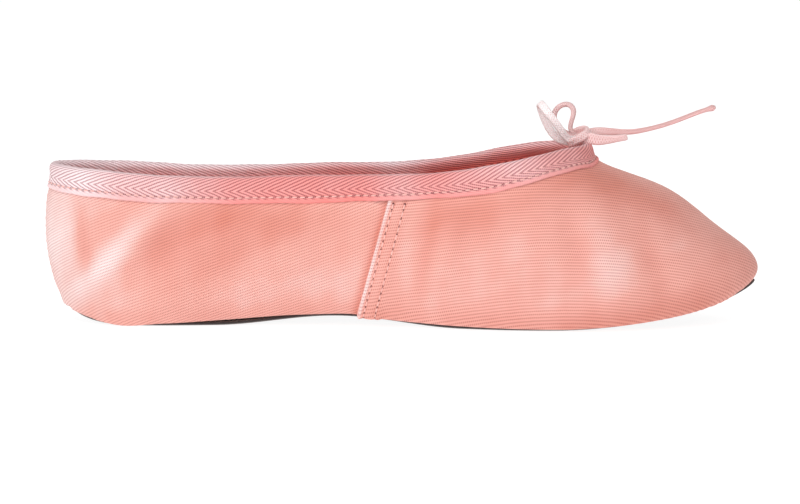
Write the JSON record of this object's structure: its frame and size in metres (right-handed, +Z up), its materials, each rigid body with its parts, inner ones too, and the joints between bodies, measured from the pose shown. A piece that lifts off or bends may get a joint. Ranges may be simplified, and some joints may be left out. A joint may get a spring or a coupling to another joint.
{
  "type": "ballet slipper",
  "caption": "Soft canvas ballet slipper with a full suede sole, herringbone binding, drawstring casing and small front bow.",
  "frame": {"origin": "on the floor, under the middle of the slipper's length and width", "axes": "+X to the toe, +Y to the wearer's left, +Z up"},
  "size_m": [0.2404, 0.0786, 0.074],
  "materials": {
    "canvas": "matt cotton twill",
    "lining": "matt plain cotton",
    "tape": "matt herringbone tape",
    "cord": "matt braided cotton",
    "thread": "spun thread",
    "sole_thread": "spun thread",
    "suede": "brushed suede",
    "board": "matt fibre board",
    "foam": "matt felted pad",
    "sock": "matt cotton"
  },
  "bodies": {
    "slipper": {"outsole": "suede", "insole_board": "board", "sock_lining": "sock", "forefoot_pad": "foam", "heel_pad": "foam", "vamp": "canvas", "vamp_lining": "lining", "quarter_right": "canvas", "quarter_left": "canvas", "quarter_lining_right": "lining", "quarter_lining_left": "lining", "heel_seam_tape": "lining", "binding": "tape", "drawstring": "cord", "side_seam_stitches_right": "thread", "side_seam_stitches_left": "thread", "heel_seam_stitches": "thread", "binding_stitches": "thread", "outsole_stitches": "sole_thread"},
    "bow": {"bow_knot": "cord", "bow_loop_near": "cord", "bow_loop_far": "cord", "bow_tail_short": "cord", "bow_tail_long": "cord"}
  },
  "joints": [
    {"name": "bow_swing", "type": "hinge", "parent": "slipper", "child": "bow", "pos_m": [0.0624, 0, 0.0578], "axis": [0, 1, 0], "range_deg": [-60, 25]}
  ]
}
